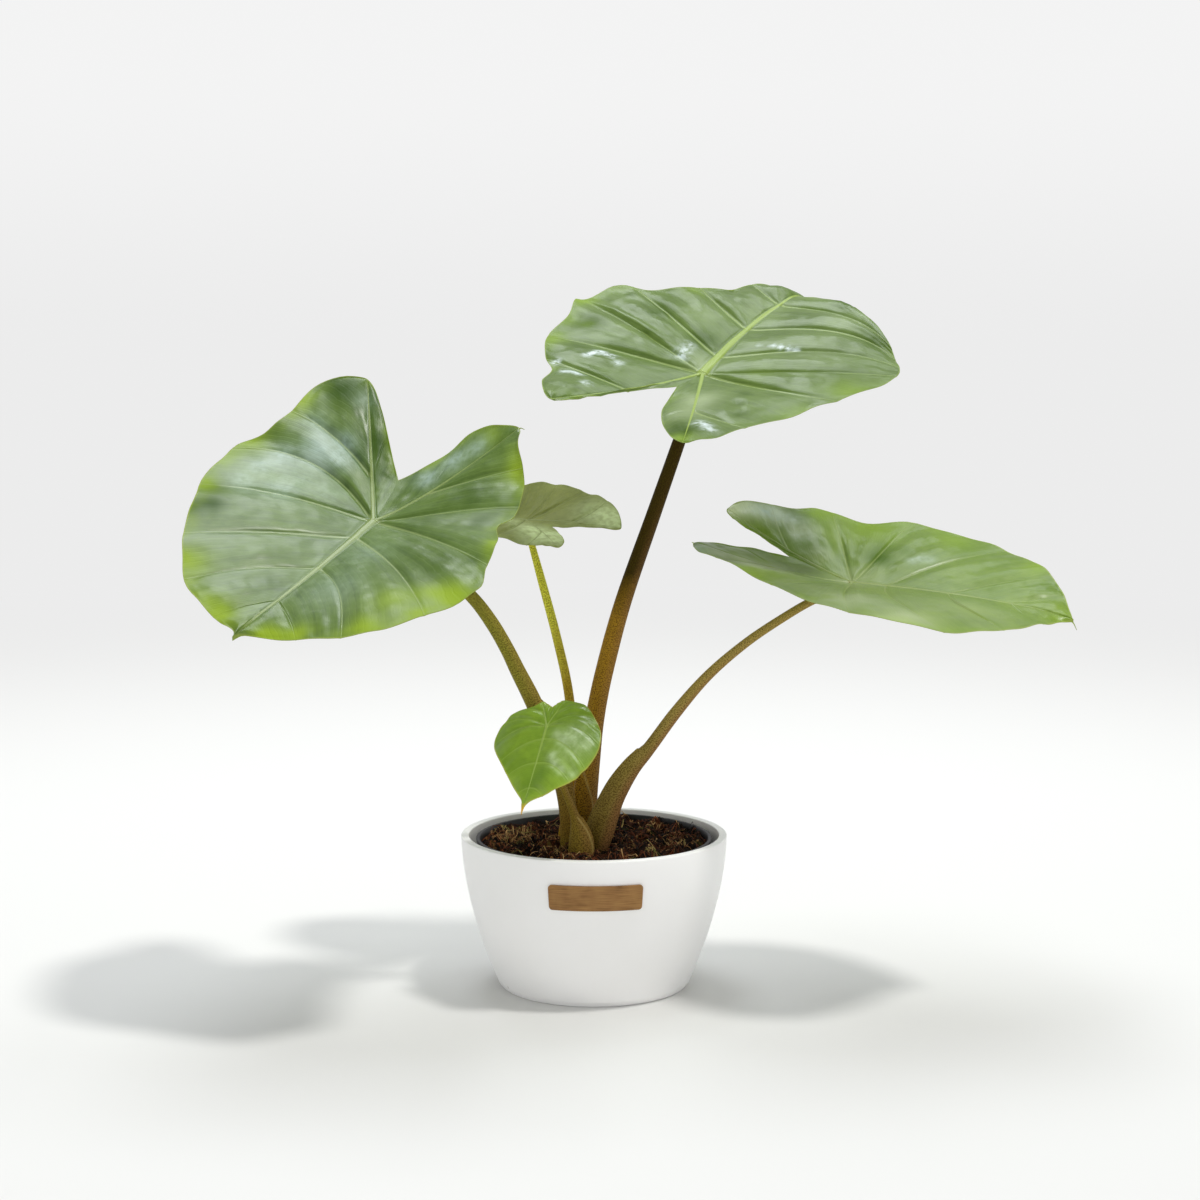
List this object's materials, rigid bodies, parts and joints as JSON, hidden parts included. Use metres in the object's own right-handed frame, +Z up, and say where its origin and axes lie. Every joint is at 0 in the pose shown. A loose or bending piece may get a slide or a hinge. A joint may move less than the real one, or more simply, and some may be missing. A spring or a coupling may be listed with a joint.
{
  "type": "potted elephant-ear plant",
  "caption": "Leafy plant with broad arrow-shaped veined leaves on arching stems, in soil inside a liner that stands in a white bowl planter with a bare label strip.",
  "frame": {"origin": "centre of the planter's flat foot, on the surface that it stands on", "axes": "+Z up, +X to the right and -Y towards the front, where the label plate is"},
  "size_m": [0.5556, 0.3099, 0.4652],
  "materials": {
    "planter": "satin white moulded planter",
    "label_plate": "brushed bronze-coloured strip, bare",
    "nursery_pot": "thin black moulded liner",
    "soil": "dark crumbly potting mix with coir fibres",
    "corm": "fibrous brown rootstock, hidden in the soil",
    "stem": "smooth brown-green stem with dark speckles",
    "pale_stem": "smooth yellow-green stem with dark speckles",
    "blade": "satin green leaf with pale sunken veins",
    "young_blade": "fresh bright green leaf with a yellow margin"
  },
  "bodies": {
    "root": {"planter": "planter", "label_plate": "label_plate", "nursery_pot": "nursery_pot", "soil": "soil", "corm": "corm", "petiole_left": "stem", "blade_left": "blade", "petiole_rear": "pale_stem", "blade_rear": "blade", "petiole_top": "stem", "blade_top": "blade", "petiole_right": "stem", "blade_right": "blade", "petiole_young": "pale_stem", "blade_young": "young_blade"}
  },
  "joints": []
}
